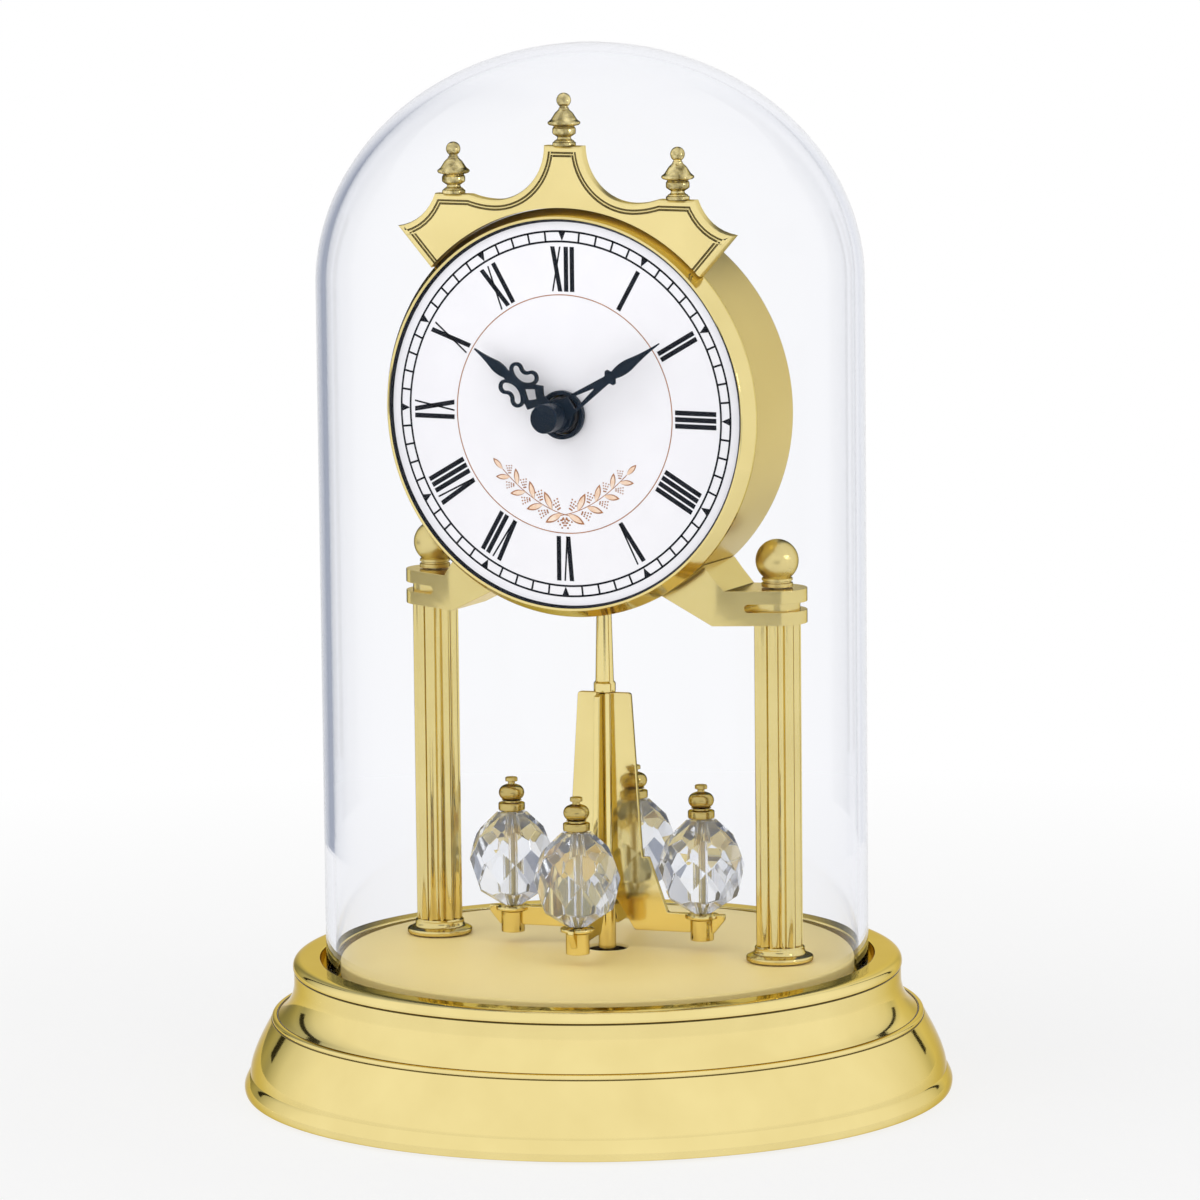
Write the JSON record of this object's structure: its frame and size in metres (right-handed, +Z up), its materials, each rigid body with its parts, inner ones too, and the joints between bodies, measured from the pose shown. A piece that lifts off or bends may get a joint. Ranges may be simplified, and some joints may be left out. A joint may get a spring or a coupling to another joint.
{
  "type": "glass dome clock",
  "caption": "Round-dial dome clock on two fluted columns and a stepped round base, with a revolving pendulum of fins and faceted drops under a lift-off glass dome.",
  "frame": {"origin": "centre of the felt's underside, on the surface that the clock stands on", "axes": "+Z up, the dial faces -Y, +X is the viewer's right"},
  "size_m": [0.1544, 0.1544, 0.228],
  "materials": {
    "plated_gold": "polished pale-gold plate",
    "turned_brass": "turned, lightly aged brass",
    "steel": "bright zinc-plated steel",
    "dial_white": "printed white dial, satin",
    "hand_blue": "dark blue-black lacquer",
    "movement_black": "moulded black plastic, fine texture",
    "battery_wrap": "plain printed sleeve",
    "felt": "short-nap felt",
    "dome_glass": "clear blown glass",
    "crystal": "clear faceted crystal"
  },
  "bodies": {
    "clock": {"base_shell": "plated_gold", "base_plate": "plated_gold", "column_foot_left": "plated_gold", "column_left": "plated_gold", "column_ball_left": "plated_gold", "bracket_left": "plated_gold", "column_rod_left": "steel", "column_nut_left": "steel", "column_foot_right": "plated_gold", "column_right": "plated_gold", "column_ball_right": "plated_gold", "bracket_right": "plated_gold", "column_rod_right": "steel", "column_nut_right": "steel", "drum_case": "plated_gold", "bezel": "plated_gold", "crest": "plated_gold", "finial_left": "plated_gold", "finial_centre": "plated_gold", "finial_right": "plated_gold", "plate_bush": "turned_brass", "contact_positive": "steel", "contact_negative": "steel", "dial": "dial_white", "dial_nut": "hand_blue", "base_cover": "movement_black", "back_cover": "movement_black", "movement_housing": "movement_black", "pendulum_drive": "movement_black", "battery": "battery_wrap", "base_pad": "felt"},
    "pendulum": {"pendulum_stem": "plated_gold", "pendulum_rotor": "plated_gold", "pendulum_guide": "plated_gold", "crystal_1": "crystal", "crystal_2": "crystal", "crystal_3": "crystal", "crystal_4": "crystal", "crystal_cap_1": "turned_brass", "crystal_cap_2": "turned_brass", "crystal_cap_3": "turned_brass", "crystal_cap_4": "turned_brass"},
    "minute_hand": {"minute_hand": "hand_blue", "minute_arbor": "steel", "hand_knob": "hand_blue", "set_knob": "movement_black"},
    "hour_hand": {"hour_hand": "hand_blue", "hour_pipe": "turned_brass"},
    "dome": {"glass_dome": "dome_glass"}
  },
  "joints": [
    {"name": "pendulum_turn", "type": "hinge", "parent": "clock", "child": "pendulum", "pos_m": [0, 0.005, 0.1], "axis": [0, 0, 1], "range_deg": [-150, 150]},
    {"name": "minute_turn", "type": "hinge", "parent": "clock", "child": "minute_hand", "pos_m": [0, 0, 0.1494], "axis": [0, 1, 0], "continuous": true},
    {"name": "hour_turn", "type": "hinge", "parent": "clock", "child": "hour_hand", "pos_m": [0, 0, 0.1494], "axis": [0, 1, 0], "continuous": true},
    {"name": "dome_lift", "type": "slide", "parent": "clock", "child": "dome", "axis": [0, 0, 1], "range_m": [0, 0.2]}
  ],
  "couplings": [
    {"joint": "hour_turn", "follows": "minute_turn", "ratio": 0.083333}
  ]
}
